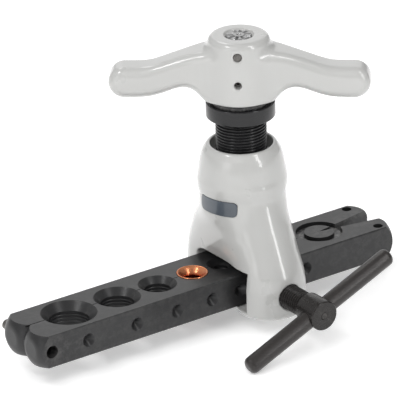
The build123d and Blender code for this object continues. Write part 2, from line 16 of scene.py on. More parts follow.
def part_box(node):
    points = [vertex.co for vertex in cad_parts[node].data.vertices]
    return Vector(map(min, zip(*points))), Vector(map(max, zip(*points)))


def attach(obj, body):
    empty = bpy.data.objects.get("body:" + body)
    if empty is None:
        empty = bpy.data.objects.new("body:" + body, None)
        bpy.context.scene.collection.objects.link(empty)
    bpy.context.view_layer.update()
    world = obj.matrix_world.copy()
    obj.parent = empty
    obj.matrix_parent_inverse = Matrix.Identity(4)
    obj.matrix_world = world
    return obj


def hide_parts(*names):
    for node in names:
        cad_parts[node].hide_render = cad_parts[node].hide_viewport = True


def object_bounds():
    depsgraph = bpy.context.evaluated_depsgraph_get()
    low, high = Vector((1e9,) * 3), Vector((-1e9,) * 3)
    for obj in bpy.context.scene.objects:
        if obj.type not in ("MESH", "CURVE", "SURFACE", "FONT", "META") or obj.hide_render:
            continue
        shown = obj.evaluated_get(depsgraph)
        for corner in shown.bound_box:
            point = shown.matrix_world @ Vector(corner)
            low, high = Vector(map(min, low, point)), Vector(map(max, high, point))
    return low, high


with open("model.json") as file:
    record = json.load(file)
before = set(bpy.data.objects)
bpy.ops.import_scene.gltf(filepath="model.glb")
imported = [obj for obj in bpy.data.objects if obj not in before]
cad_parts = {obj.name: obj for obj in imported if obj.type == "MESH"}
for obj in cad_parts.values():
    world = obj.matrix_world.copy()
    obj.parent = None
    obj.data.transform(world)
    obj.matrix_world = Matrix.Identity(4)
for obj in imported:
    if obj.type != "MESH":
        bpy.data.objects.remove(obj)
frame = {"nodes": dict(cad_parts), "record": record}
CAD_BOX = [[float(v) for v in c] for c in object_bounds()]


# ---------------------------------------------------------------- frame sizes (mm)
def box_mm(node):
    low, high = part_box(node)
    return np.array(low) * 1000.0, np.array(high) * 1000.0


BAR_TOP = float(box_mm("die_half_rear")[1][2])
YOKE_LOW, YOKE_HIGH = box_mm("yoke")
HANDLE_LOW, HANDLE_HIGH = box_mm("t_handle")
SLEEVE_LOW, SLEEVE_HIGH = box_mm("feed_sleeve")
SCREW_LOW, SCREW_HIGH = box_mm("clamp_screw")
TUBE_LOW, TUBE_HIGH = box_mm("copper_tube")
TOMMY_LOW, TOMMY_HIGH = box_mm("tommy_bar")

GRID = 0.5               # cell size for the cast bodies
GRID_MARGIN = 1.5
THREAD_STEP = 0.125     # row spacing along a thread
THREAD_PITCH = 1.5


# ---------------------------------------------------------------- mesh helpers
def new_mesh(name, verts, faces, body, material, replaces=None, smooth=True,
             sharp_deg=None):
    """Make an object from vertices in mm; it stands in for the CAD piece named by replaces."""
    mesh = bpy.data.meshes.new(name)
    metres = np.asarray(verts, dtype=np.float64) / 1000.0
    mesh.from_pydata(metres.tolist(), [], [list(map(int, face)) for face in faces])
    mesh.validate(clean_customdata=False)
    mesh.update()
    piece = bpy.data.objects.new(name, mesh)
    bpy.context.scene.collection.objects.link(piece)
    if smooth:
        mesh.shade_smooth()
    if sharp_deg:
        mesh.set_sharp_from_angle(angle=math.radians(sharp_deg))
    mesh.materials.append(material)
    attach(piece, body)
    if replaces:
        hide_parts(replaces)
    return piece


def surface_nets(shape, low, high, spacing, passes=3, probe=0.03):
    """Mesh the zero surface of a distance field, one vertex per crossed cell."""
    counts = np.ceil((high - low) / spacing).astype(int) + 1
    axes = [low[i] + spacing * np.arange(counts[i]) for i in range(3)]
    y, z = np.meshgrid(axes[1], axes[2], indexing="ij")
    field = np.empty(counts, np.float32)
    for i, x in enumerate(axes[0]):                        # slab by slab keeps memory low
        field[i] = shape(np.full_like(y, x), y, z)
    inside = field < 0
    corners = [np.array((a, b, c)) for a in (0, 1) for b in (0, 1) for c in (0, 1)]
    nx, ny, nz = counts - 1
    inside_count = np.zeros(counts - 1, np.int8)
    for dx, dy, dz in corners:
        inside_count += inside[dx:nx + dx, dy:ny + dy, dz:nz + dz]
    active = (inside_count > 0) & (inside_count < 8)
    cells = np.argwhere(active)
    index = np.full(counts - 1, -1, np.int64)
    index[active] = np.arange(len(cells))

    # each vertex starts at the mean of its cell's edge crossings
    points = np.zeros((len(cells), 3))
    crossings = np.zeros(len(cells))
    for i, a in enumerate(corners):
        for b in corners[i + 1:]:
            if np.abs(a - b).sum() != 1:
                continue
            field_a = field[tuple((cells + a).T)]
            field_b = field[tuple((cells + b).T)]
            crossed = (field_a < 0) != (field_b < 0)
            along = (field_a[crossed] / (field_a[crossed] - field_b[crossed]))[:, None]
            points[crossed] += a + along * (b - a)
            crossings[crossed] += 1
    points = (cells + points / crossings[:, None]) * spacing + low

    # one quad round every crossed grid edge
    faces = []
    for axis in range(3):
        start = [slice(1, counts[k] - 1) for k in range(3)]
        end = list(start)
        start[axis] = slice(0, counts[axis] - 1)
        end[axis] = slice(1, counts[axis])
        first, second = inside[tuple(start)], inside[tuple(end)]
        u, w = (axis + 1) % 3, (axis + 2) % 3
        offset = np.zeros(3, int)
        offset[u] = offset[w] = 1
        for crossed, flip in ((first & ~second, False), (~first & second, True)):
            edge = np.argwhere(crossed) + offset
            quads = []
            for du, dw in ((-1, -1), (0, -1), (0, 0), (-1, 0)):
                cell = edge.copy()
                cell[:, u] += du
                cell[:, w] += dw
                quads.append(index[tuple(cell.T)])
            quads = np.stack(quads, 1)
            faces.append(quads[:, ::-1] if flip else quads)

    # pull the vertices onto the surface, at most half a cell per pass
    for _ in range(passes):
        value = shape(*points.T)
        gradient = np.stack([shape(*(points + step).T) - shape(*(points - step).T)
                             for step in probe * np.eye(3)], 1) / (2 * probe)
        steepness = np.maximum((gradient * gradient).sum(1), 0.05)
        move = -(value / steepness)[:, None] * gradient
        length = np.linalg.norm(move, axis=1, keepdims=True)
        move *= np.minimum(1.0, 0.5 * spacing / np.maximum(length, 1e-9))
        points = points + move
    return points, np.concatenate(faces)


def smooth_max(a, b, blend):
    near = np.maximum(blend - np.abs(a - b), 0.0) / blend
    return np.maximum(a, b) + near * near * blend * 0.25


def smooth_min(a, b, blend):
    near = np.maximum(blend - np.abs(a - b), 0.0) / blend
    return np.minimum(a, b) - near * near * blend * 0.25


def cut(body, hole, blend):
    return smooth_max(body, -hole, blend)


def overlap(*parts):
    return np.maximum.reduce(parts)


def radial(a, b):
    return np.sqrt(a * a + b * b)


def rounded_overlap(a, b, radius):
    """Intersection of two distances with its edge rounded."""
    p, q = a + radius, b + radius
    outside = radial(np.maximum(p, 0), np.maximum(q, 0))
    return outside + np.minimum(np.maximum(p, q), 0) - radius


def turned(x, y, angle):
    """Coordinates along and across a direction in the XY plane."""
    c, s = math.cos(angle), math.sin(angle)
    return x * c + y * s, -x * s + y * c


def curve(table, column):
    """Smooth interpolation of a table column over the first one, without overshoot."""
    stations = np.array(table, float)
    xs, ys = stations[:, 0], stations[:, column]
    rise = np.diff(ys) / np.diff(xs)
    before, after = rise[:-1], rise[1:]
    total = before + after
    slope = np.zeros_like(ys)
    slope[1:-1] = np.where(before * after > 0,
                           2 * before * after / np.where(np.abs(total) < 1e-9, 1, total), 0)
    slope[0], slope[-1] = rise[0], rise[-1]
    fine = np.linspace(xs[0], xs[-1], 2400)
    k = np.clip(np.searchsorted(xs, fine, side="right") - 1, 0, len(xs) - 2)
    width = xs[k + 1] - xs[k]
    u = (fine - xs[k]) / width
    values = ((2 * u ** 3 - 3 * u ** 2 + 1) * ys[k]
              + (u ** 3 - 2 * u ** 2 + u) * width * slope[k]
              + (-2 * u ** 3 + 3 * u ** 2) * ys[k + 1]
              + (u ** 3 - u ** 2) * width * slope[k + 1])
    return lambda at: np.interp(at, fine, values)


def lathe(profile, segments, axis_xy=(0.0, 0.0)):
    """Turn [(radius, z), ...] about a vertical axis.

    A zero radius makes a pole; a radius may be an array with one value per segment.
    The profile closes on itself unless it runs from pole to pole.
    """
    angles = np.linspace(0, 2 * math.pi, segments, endpoint=False)
    cx, cy = axis_xy
    verts, rows = [], []
    for radius, z in profile:
        if np.max(radius) <= 1e-6:
            rows.append([len(verts)])
            verts.append((cx, cy, z))
            continue
        rows.append(list(range(len(verts), len(verts) + segments)))
        for angle, r in zip(angles, np.broadcast_to(radius, segments)):
            verts.append((cx + r * math.cos(angle), cy + r * math.sin(angle), z))
    faces = []
    closed = not (len(rows[0]) == 1 and len(rows[-1]) == 1)
    for j in range(len(rows) if closed else len(rows) - 1):
        a, b = rows[j], rows[(j + 1) % len(rows)]
        if len(a) == 1 and len(b) == 1:
            continue
        for i in range(segments):
            k = (i + 1) % segments
            if len(a) == 1:
                faces.append((a[0], b[k], b[i]))
            elif len(b) == 1:
                faces.append((a[i], a[k], b[0]))
            else:
                faces.append((a[i], a[k], b[k], b[i]))
    return np.array(verts), faces


def arc(centre_r, centre_z, radius, from_deg, to_deg, steps):
    angles = [math.radians(from_deg + (to_deg - from_deg) * i / steps) for i in range(steps + 1)]
    return [(centre_r + radius * math.cos(a), centre_z + radius * math.sin(a)) for a in angles]


def thread_rows(heights, segments, major, depth, low, high):
    """Lathe rows of a single-start thread with rounded crests, fading at low and high."""
    angles = np.linspace(0, 2 * math.pi, segments, endpoint=False)
    fade_length = 0.6 * THREAD_PITCH
    rows = []
    for z in heights:
        phase = (z / THREAD_PITCH - angles / (2 * math.pi)) % 1.0
        rootward = np.abs(phase - 0.5) * 2.0               # 1 at root, 0 at crest
        groove = np.clip((rootward - 0.14) / 0.72, 0, 1)
        groove = groove * groove * (3 - 2 * groove)
        fade = min(1.0, max(0.0, (z - low) / fade_length), max(0.0, (high - z) / fade_length))
        rows.append((major - depth * (groove * fade + (1 - fade)), z))
    return rows


# ---------------------------------------------------------------- shader helpers
class Nodes:
    """The shader nodes of a material or world."""

    def __init__(self, owner):
        owner.use_nodes = True
        self.tree = owner.node_tree
        self.tree.nodes.clear()

    def add(self, kind):
        return self.tree.nodes.new("ShaderNode" + kind)

    def feed(self, socket, value):
        """Link a socket, or set a colour tuple or number."""
        if isinstance(value, bpy.types.NodeSocket):
            self.tree.links.new(value, socket)
        else:
            socket.default_value = (*value, 1) if isinstance(value, tuple) else value

    def remap(self, source, span, to=(0, 1)):
        node = self.add("MapRange")
        for socket, value in zip(node.inputs, (source, *span, *to)):
            self.feed(socket, value)
        return node.outputs[0]


class Surface(Nodes):
    """A Principled material, textured in object coordinates."""

    def __init__(self, name, textured=True):
        self.material = bpy.data.materials.new(name)
        super().__init__(self.material)
        output = self.add("OutputMaterial")
        self.bsdf = self.add("BsdfPrincipled")
        self.feed(output.inputs[0], self.bsdf.outputs[0])
        if textured:
            self.position = self.add("TexCoord").outputs["Object"]

    def put(self, name, value):
        self.feed(self.bsdf.inputs[name], value)

    def noise(self, scale, detail=4.0, rough=0.55, stretch=None):
        source = self.position
        if stretch:
            mapping = self.add("Mapping")
            mapping.inputs["Scale"].default_value = stretch
            self.feed(mapping.inputs["Vector"], source)
            source = mapping.outputs[0]
        node = self.add("TexNoise")
        for name, value in (("Scale", scale), ("Detail", detail), ("Roughness", rough),
                            ("Vector", source)):
            self.feed(node.inputs[name], value)
        return node.outputs["Fac"]

    def mix(self, factor, first, second):
        node = self.add("Mix")
        node.data_type = "RGBA"
        for socket, value in ((0, factor), (6, first), (7, second)):
            self.feed(node.inputs[socket], value)
        return node.outputs[2]

    def bump(self, height, strength, distance, normal=None):
        node = self.add("Bump")
        self.feed(node.inputs["Strength"], strength)
        self.feed(node.inputs["Distance"], distance)
        self.feed(node.inputs["Height"], height)
        if normal is not None:
            self.feed(node.inputs["Normal"], normal)
        return node.outputs[0]


def scaled(colour, factor):
    return tuple(v * factor for v in colour)


# ---------------------------------------------------------------- materials
def paint_material(name, colour):
    s = Surface(name)
    patches = s.remap(s.noise(22, detail=3, rough=0.5), span=(0.35, 0.65))
    tint = s.mix(patches, scaled(colour, 0.988), scaled(colour, 1.012))
    specks = s.remap(s.noise(900, detail=2, rough=0.6), span=(0.74, 0.80), to=(0, 0.18))
    s.put("Base Color", s.mix(specks, tint, scaled(colour, 0.74)))
    s.put("IOR", 1.5)
    s.put("Roughness", s.remap(s.noise(60, detail=3), span=(0.3, 0.7), to=(0.27, 0.30)))
    s.put("Coat Weight", 0.85)
    s.put("Coat Roughness", 0.06)
    orange_peel = s.bump(s.noise(260, detail=2, rough=0.5), strength=0.04, distance=0.0005)
    s.put("Normal", s.bump(s.noise(45, detail=2, rough=0.5),             # soft casting waves
                           strength=0.035, distance=0.002, normal=orange_peel))
    return s.material


def steel_material(name, dark, light, rough, metallic, stretch=(1, 14, 14), scale=150, wear=0.5,
                   wear_colour=(0.30, 0.29, 0.28), bump=0.10, specular=0.5, clouding=0.12):
    """Streaked metal; wear is how far broken convex edges turn to wear_colour."""
    s = Surface(name)
    streak = s.noise(scale, detail=5, rough=0.65, stretch=stretch)
    fine = s.noise(scale * 5, detail=3, rough=0.6)
    cloud = s.noise(40, detail=4, rough=0.6)
    tint = s.mix(s.remap(streak, span=(0.3, 0.7)), dark, light)
    tint = s.mix(s.remap(fine, span=(0.35, 0.7), to=(0, 0.5)), tint, scaled(dark, 0.8))
    tint = s.mix(s.remap(cloud, span=(0.40, 0.75), to=(0, clouding)), tint, scaled(dark, 0.6))
    if wear > 0:
        edges = s.remap(s.add("NewGeometry").outputs["Pointiness"], span=(0.52, 0.60))
        breaks = s.remap(s.noise(340, detail=4, rough=0.7), span=(0.42, 0.62))
        worn = s.add("Math")
        worn.operation = "MULTIPLY"
        s.feed(worn.inputs[0], edges)
        s.feed(worn.inputs[1], breaks)
        tint = s.mix(s.remap(worn.outputs[0], span=(0, 1), to=(0, wear)), tint, wear_colour)
    s.put("Base Color", tint)
    s.put("Metallic", metallic)
    s.put("Specular IOR Level", specular)
    s.put("Roughness", s.remap(fine, span=(0.3, 0.7), to=rough))
    s.put("Normal", s.bump(streak, strength=bump, distance=0.0004))
    return s.material


def copper_material():
    s = Surface("bright_copper")
    streak = s.noise(240, detail=4, rough=0.6, stretch=(5, 5, 1))
    cloud = s.noise(90, detail=4, rough=0.6)
    tint = s.mix(s.remap(cloud, span=(0.35, 0.7)), (0.64, 0.215, 0.095), (0.82, 0.355, 0.18))
    tint = s.mix(s.remap(streak, span=(0.55, 0.75), to=(0, 0.4)), tint, (0.52, 0.18, 0.09))
    # painted shade in the tube's throat: darker below the bar's top face
    split = s.add("SeparateXYZ")
    s.feed(split.inputs[0], s.position)
    top = BAR_TOP / 1000.0
    depth = s.remap(split.outputs[2], span=(top - 0.0036, top - 0.0003), to=(1.0, 0.0))
    s.put("Base Color", s.mix(depth, tint, (0.30, 0.045, 0.015)))
    s.put("Metallic", 1.0)
    s.put("Roughness", s.remap(cloud, span=(0.3, 0.7), to=(0.18, 0.30)))
    s.put("Normal", s.bump(streak, strength=0.06, distance=0.0003))
    return s.material


def label_material():
    s = Surface("plain_label_film")
    cloud = s.remap(s.noise(120, detail=3, rough=0.5), span=(0.3, 0.7))
    s.put("Base Color", s.mix(cloud, (0.050, 0.062, 0.078), (0.066, 0.080, 0.098)))
    s.put("Roughness", 0.3)
    s.put("Coat Weight", 0.5)
    s.put("Normal", s.bump(s.noise(700, detail=2), strength=0.03, distance=0.0003))
    return s.material


PAINT = paint_material("paint_warm_grey", (0.425, 0.425, 0.415))
DIE = steel_material(
    "black_oxide_die", (0.0145, 0.0145, 0.0152), (0.0175, 0.0175, 0.0184), rough=(0.32, 0.36),
    metallic=0.0, specular=0.42, bump=0.015, scale=420, clouding=0.03, wear=0.12)
RING = steel_material(
    "black_oxide_ring", (0.045, 0.045, 0.047), (0.075, 0.075, 0.078), rough=(0.30, 0.42),
    metallic=0.2, stretch=(6, 6, 1))
PIN = steel_material(
    "oiled_pin_steel", (0.09, 0.085, 0.08), (0.18, 0.17, 0.16), rough=(0.3, 0.45),
    metallic=0.8, stretch=(4, 4, 4))
THREAD = steel_material(
    "black_phosphate_thread", (0.007, 0.007, 0.008), (0.012, 0.012, 0.013), rough=(0.15, 0.20),
    metallic=0.0, stretch=(3, 3, 12), wear_colour=(0.10, 0.096, 0.092), bump=0.02, specular=0.42)
SCREW = steel_material(
    "black_screw_steel", (0.012, 0.0105, 0.010), (0.022, 0.0195, 0.0185), rough=(0.22, 0.32),
    metallic=0.15, specular=0.42, stretch=(3, 12, 3), wear=0.18,
    wear_colour=(0.16, 0.148, 0.138), bump=0.015)
TOMMY = steel_material(
    "tommy_bar_steel", (0.020, 0.0175, 0.0165), (0.036, 0.0315, 0.030), rough=(0.28, 0.38),
    metallic=0.2, stretch=(3, 14, 14), wear=0.35, wear_colour=(0.20, 0.18, 0.165), bump=0.03)
BRONZE = steel_material(
    "sintered_bronze", (0.36, 0.21, 0.08), (0.52, 0.33, 0.14), rough=(0.35, 0.5),
    metallic=0.9, stretch=(3, 3, 3), wear=0)
SPINDLE = steel_material(
    "turned_steel", (0.34, 0.34, 0.34), (0.55, 0.55, 0.55), rough=(0.22, 0.36),
    metallic=0.95, stretch=(2, 2, 14), wear=0)
POLISHED = steel_material(
    "polished_steel", (0.52, 0.52, 0.53), (0.70, 0.70, 0.71), rough=(0.08, 0.16),
    metallic=1.0, stretch=(2, 2, 8), wear=0, bump=0.02)
SPRING = steel_material(
    "spring_wire", (0.22, 0.22, 0.23), (0.38, 0.38, 0.40), rough=(0.25, 0.35),
    metallic=0.9, stretch=(2, 2, 2), wear=0)
COPPER = copper_material()
LABEL = label_material()

SLOT_MATERIALS = {
    "paint": PAINT, "die_steel": DIE, "ring_steel": RING, "pin_steel": PIN, "copper": COPPER,
    "label": LABEL, "black_screw": THREAD, "tommy_steel": TOMMY, "bronze": BRONZE,
    "spindle_steel": SPINDLE, "polished_steel": POLISHED, "spring_steel": SPRING,
}


def dress_cad_pieces():
    slot_names = {part["node"]: part["material_slot"] for part in frame["record"]["subparts"]}
    for name, piece in frame["nodes"].items():
        material = SLOT_MATERIALS.get(slot_names.get(name, ""), DIE)
        if name == "tommy_friction_plug":
            material = SCREW
        if piece.material_slots:
            for slot in piece.material_slots:
                slot.material = material
        else:
            piece.data.materials.append(material)


dress_cad_pieces()

# ---------------------------------------------------------------- yoke (z above the bar top)
# z; barrel radius; front leg radius, centre distance; rear leg radius, centre distance; blend
YOKE_STATIONS = [
    (-30.0, 15.0, 16.8, 20.2, 16.3, 18.1, 5.0), (-6.0, 15.0, 16.8, 20.2, 16.3, 18.1, 5.5),
    (0.0, 15.1, 16.4, 19.8, 15.9, 18.2, 8.5), (5.0, 15.3, 15.8, 18.7, 15.4, 18.0, 12.5),
    (10.0, 16.2, 15.2, 17.1, 14.9, 17.1, 14.0), (15.0, 17.3, 14.6, 15.5, 14.4, 15.5, 13.0),
    (20.0, 18.5, 14.1, 13.8, 14.0, 13.3, 10.0), (26.0, 19.95, 13.7, 11.3, 13.7, 9.9, 6.0),
    (32.0, 20.3, 13.8, 9.0, 13.8, 7.6, 4.0), (35.0, 20.4, 13.9, 8.0, 13.9, 7.0, 3.2),
    (38.0, 20.95, 14.0, 7.2, 14.0, 6.4, 3.0), (41.0, 21.1, 14.0, 6.2, 14.0, 5.8, 3.0),
    (45.2, 20.5, 12.5, 4.2, 12.5, 4.2, 3.0), (51.3, 19.45, 10.0, 2.0, 10.0, 2.0, 3.0),
    (55.2, 18.3, 8.0, 1.0, 8.0, 1.0, 3.0), (56.6, 17.45, 7.0, 0.5, 7.0, 0.5, 3.0),
    (57.8, 16.65, 6.0, 0.0, 6.0, 0.0, 3.0), (60.8, 14.6, 5.0, 0.0, 5.0, 0.0, 3.0)]
barrel_r, front_r, front_y, rear_r, rear_y, leg_blend = [
    curve(YOKE_STATIONS, column) for column in range(1, 7)]
YOKE_FOOT, YOKE_RIM = float(YOKE_LOW[2]) - BAR_TOP, float(YOKE_HIGH[2]) - BAR_TOP
FOOT_ROUND = 3.6
MOUTH_R, MOUTH_FLOOR = 14.65, 52.0                     # top of the bore
BORE_R, BORE_FLOOR = 12.05, 20.0
CHAMBER_R, CHAMBER_FLOOR, CHAMBER_TOP = 14.0, -5.0, 36.0
SLOT_FRONT, SLOT_REAR = -23.6, 16.2                    # bar slot, y
SLOT_FLOOR, SLOT_TOP, ARCH_FLOOR = -16.3, 1.2, -8.0
ARCH_Y = [SLOT_FRONT, -14.5, -12.0, -9.5, -7.5, 9.0, 10.8, 12.8, 14.8, SLOT_REAR]
ARCH_Z = [3.2, 3.35, 3.8, 4.12, 4.2, 4.2, 4.12, 3.7, 2.75, 1.3]
THROAT_HALF, THROAT_TOP = 10.2, -15.8                  # gap between the lips under the bar
FLARE_START, FLARE_RUN, FLARE_WIDEN, FLARE_POWER = 10.0, 6.2, 6.0, 2.6
SCREW_HOLE_Z = -8.0
SCREW_HOLE_R, SCREW_HOLE_END = 6.03, -20.0             # open towards -Y from its end
COUNTERBORE_R, COUNTERBORE_END = 6.45, -36.4
LABEL_ANGLE, LABEL_Z, LABEL_FLOOR_R = math.radians(196.5), 32.4, 19.5
LABEL_HALF_WIDTH, LABEL_HALF_HEIGHT, LABEL_CORNER = 10.46, 3.66, 2.2


def yoke_shape(x, y, z):
    z = z - BAR_TOP
    blend = leg_blend(z)
    rho = radial(x, y)
    body = smooth_min(rho - barrel_r(z), radial(x, y + front_y(z)) - front_r(z), blend)
    body = smooth_min(body, radial(x, y - rear_y(z)) - rear_r(z), blend)
    body = body * 0.9                                  # the taper overstates distances
    body = smooth_max(body, z - YOKE_RIM, 1.3)
    body = rounded_overlap(body, YOKE_FOOT - z, FOOT_ROUND)
    body = cut(body, overlap(rho - MOUTH_R, MOUTH_FLOOR - z), 1.0)
    body = cut(body, overlap(rho - BORE_R, BORE_FLOOR - z), 0.5)
    body = cut(body, overlap(rho - CHAMBER_R, z - CHAMBER_TOP, CHAMBER_FLOOR - z), 0.5)
    # slot for the bar, with an arched roof
    slot_y = overlap(y - SLOT_REAR, SLOT_FRONT - y)
    slot = overlap(slot_y, z - SLOT_TOP, SLOT_FLOOR - z)
    arch = overlap(slot_y, z - np.interp(y, ARCH_Y, ARCH_Z), ARCH_FLOOR - z)
    body = cut(body, np.minimum(slot, arch), 0.8)
    # throat between the lips, its mouths flared
    flare = (np.clip(np.abs(x) - FLARE_START, 0, FLARE_RUN) / FLARE_RUN) ** FLARE_POWER
    half = THROAT_HALF + flare * FLARE_WIDEN
    body = cut(body, overlap((np.abs(y) - half) * 0.8, z - THROAT_TOP), 0.9)
    from_screw = radial(x, z - SCREW_HOLE_Z)
    body = cut(body, overlap(from_screw - SCREW_HOLE_R, y - SCREW_HOLE_END), 0.3)
    body = cut(body, overlap(from_screw - COUNTERBORE_R, y - COUNTERBORE_END), 0.5)
    # shallow label pocket
    outward, sideways = turned(x, y, LABEL_ANGLE)
    plate = rounded_overlap(np.abs(sideways) - LABEL_HALF_WIDTH,
                            np.abs(z - LABEL_Z) - LABEL_HALF_HEIGHT, LABEL_CORNER)
    return cut(body, overlap(plate, LABEL_FLOOR_R - rho, -outward), 0.35)


verts, faces = surface_nets(yoke_shape, YOKE_LOW - GRID_MARGIN, YOKE_HIGH + GRID_MARGIN, GRID)
new_mesh("yoke_casting", verts, faces, "yoke_body", PAINT, replaces="yoke")

# ---------------------------------------------------------------- T-handle (z above the bar top)
HANDLE_ANGLE = math.radians(-38.8)                     # wings, from +X
HANDLE_FOOT, HANDLE_TOP = float(HANDLE_LOW[2]) - BAR_TOP, float(HANDLE_HIGH[2]) - BAR_TOP
# z, hub radius
HUB_STATIONS = [(78, 16.45), (82.5, 16.33), (86, 16.2), (109.4, 14.42), (116, 13.92)]
# distance from the axis, half thickness, top z, bottom z
WING_STATIONS = [
    (0, 10.2, 106.7, 81.0), (10.0, 10.2, 106.5, 81.0), (14.0, 10.1, 106.3, 81.6),
    (16.4, 9.7, 106.05, 82.6), (18.2, 9.3, 105.75, 84.0), (20.5, 8.8, 105.2, 86.0),
    (23.3, 8.4, 104.35, 87.4), (26.0, 8.15, 103.45, 87.75), (29.0, 8.0, 102.4, 87.25),
    (33.0, 7.9, 101.0, 85.8), (37.0, 7.85, 99.55, 84.35), (41.6, 7.85, 98.25, 83.15),
    (46.0, 7.9, 97.75, 82.7), (50.0, 8.0, 97.65, 82.65), (70.0, 8.0, 97.65, 82.65)]
hub_r = curve(HUB_STATIONS, 1)
wing_half, wing_top, wing_bottom = [curve(WING_STATIONS, column) for column in (1, 2, 3)]
HUB_ROUND, HUB_WING_BLEND = 2.9, 4.2
WING_REACH, WING_END_ROUND, WING_EDGE_ROUND = 60.65, 7.3, 4.5
HUB_BORE_R = 6.03
RECESS_R, RECESS_DEPTH = 6.9, 0.8
RELIEF_R, RELIEF_TOP = 8.06, 86.0
PIN_HOLE_R, PIN_HOLE_Z = 2.06, 106.2                   # right through
GRUB_HOLE_R, GRUB_HOLE_Z = 1.8, 92.7                   # one side only


def handle_shape(x, y, z):
    z = z - BAR_TOP
    along, across = turned(x, y, HANDLE_ANGLE)
    rho = radial(along, across)
    hub = rounded_overlap((rho - hub_r(z)) * 0.997, z - HANDLE_TOP, HUB_ROUND)
    hub = smooth_max(hub, HANDLE_FOOT - z, 1.4)
    reach = np.abs(along)
    top, bottom = wing_top(reach), wing_bottom(reach)
    wing = (np.abs(z - (top + bottom) / 2) - (top - bottom) / 2) * 0.93
    wing = rounded_overlap(wing, reach - WING_REACH, WING_END_ROUND)
    wing = rounded_overlap(wing, np.abs(across) - wing_half(reach), WING_EDGE_ROUND)
    body = smooth_min(hub, wing, HUB_WING_BLEND)
    body = smooth_max(body, HANDLE_FOOT - z, 0.6)
    body = np.maximum(body, z - HANDLE_TOP)
    body = cut(body, rho - HUB_BORE_R, 0.3)
    body = cut(body, overlap(rho - RECESS_R, HANDLE_TOP - RECESS_DEPTH - z), 0.5)
    body = cut(body, overlap(rho - RELIEF_R, z - RELIEF_TOP), 0.3)
    # cross pin and grub screw holes, square to the wings
    body = cut(body, radial(along, z - PIN_HOLE_Z) - PIN_HOLE_R, 0.5)
    return cut(body, overlap(radial(along, z - GRUB_HOLE_Z) - GRUB_HOLE_R, across), 0.5)


verts, faces = surface_nets(handle_shape, HANDLE_LOW - GRID_MARGIN, HANDLE_HIGH + GRID_MARGIN, GRID)
new_mesh("handle_casting", verts, faces, "handle_body", PAINT, replaces="t_handle")


# ---------------------------------------------------------------- feed sleeve
def build_sleeve():
    """Threaded sleeve, its bore widened at both ends, with a collar on top."""
    segments = 144
    bore, wide = 8.06, 9.4
    bottom, top = float(SLEEVE_LOW[2]), float(SLEEVE_HIGH[2])
    collar = top - 7.5                                 # underside
    profile = [(bore, top - 0.2), (wide, top - 0.2), (wide, top - 9.6), (bore, top - 9.8),
               (bore, bottom + 11.2), (wide, bottom + 11.0), (wide, bottom + 0.1), (9.6, bottom)]
    profile += thread_rows(np.arange(bottom + 0.05, collar - 1.1, THREAD_STEP), segments,
                           major=11.95, depth=0.88, low=bottom + 0.3, high=collar - 1.2)
    profile += [(10.95, collar - 1.0), (10.95, collar - 0.1), (11.1, collar), (15.4, collar)]
    profile += arc(15.5, collar + 0.7, 0.7, -80, 0, 4)
    profile += arc(15.7, top - 0.5, 0.5, 0, 90, 4) + [(10.0, top)]
    verts, faces = lathe(profile, segments)
    new_mesh("sleeve_threaded", verts, faces, "sleeve_body", THREAD, replaces="feed_sleeve",
             sharp_deg=50)


build_sleeve()

# ---------------------------------------------------------------- clamp screw and tommy bar
SCREW_Z = float((SCREW_LOW[2] + SCREW_HIGH[2]) / 2)
TOMMY_CENTRE = np.array([0, float((TOMMY_LOW[1] + TOMMY_HIGH[1]) / 2), SCREW_Z])
TOMMY_TILT = math.radians(-22.5)
TOMMY_ALONG = np.array([math.cos(TOMMY_TILT), 0, -math.sin(TOMMY_TILT)])
TOMMY_UP = np.array([math.sin(TOMMY_TILT), 0, math.cos(TOMMY_TILT)])


def beside_tommy(along, side, up):
    """Points given along the tommy bar, along Y and square to both."""
    along, side, up = [np.asarray(v)[:, None] for v in (along, side, up)]
    return TOMMY_ALONG * along + side * np.array([0, 1, 0]) + up * TOMMY_UP + TOMMY_CENTRE


def build_screw():
    """Clamp screw, turned upright from its head's end face and then laid along +Y."""
    segments = 120
    head_r, head = 7.2, 12.9
    front = float(SCREW_LOW[1])
    length = float(SCREW_HIGH[1]) - front
    profile = [(0, 1.6), (1.62, 1.6), (1.62, 0.25), (1.85, 0.0), (head_r - 0.75, 0.0)]
    profile += arc(head_r - 0.7, 0.7, 0.7, -90, 0, 4)
    profile += arc(head_r - 0.6, head - 0.6, 0.6, 0, 90, 4) + [(5.3, head), (5.05, head + 0.25)]
    profile += thread_rows(np.arange(head + 0.35, length - 0.4, THREAD_STEP), segments,
                           major=5.95, depth=0.86, low=head + 0.4, high=length - 0.5)
    profile += [(5.0, length - 0.3), (4.7, length), (2.6, length), (2.56, length - 0.2),
                (2.56, length - 7.6), (0, length - 7.6)]
    verts, faces = lathe(profile, segments)
    verts = np.stack([verts[:, 0], verts[:, 2] + front, -verts[:, 1] + SCREW_Z], 1)
    return new_mesh("clamp_screw_threaded", verts, faces, "clamp_screw_body", SCREW,
                    replaces="clamp_screw", sharp_deg=50)


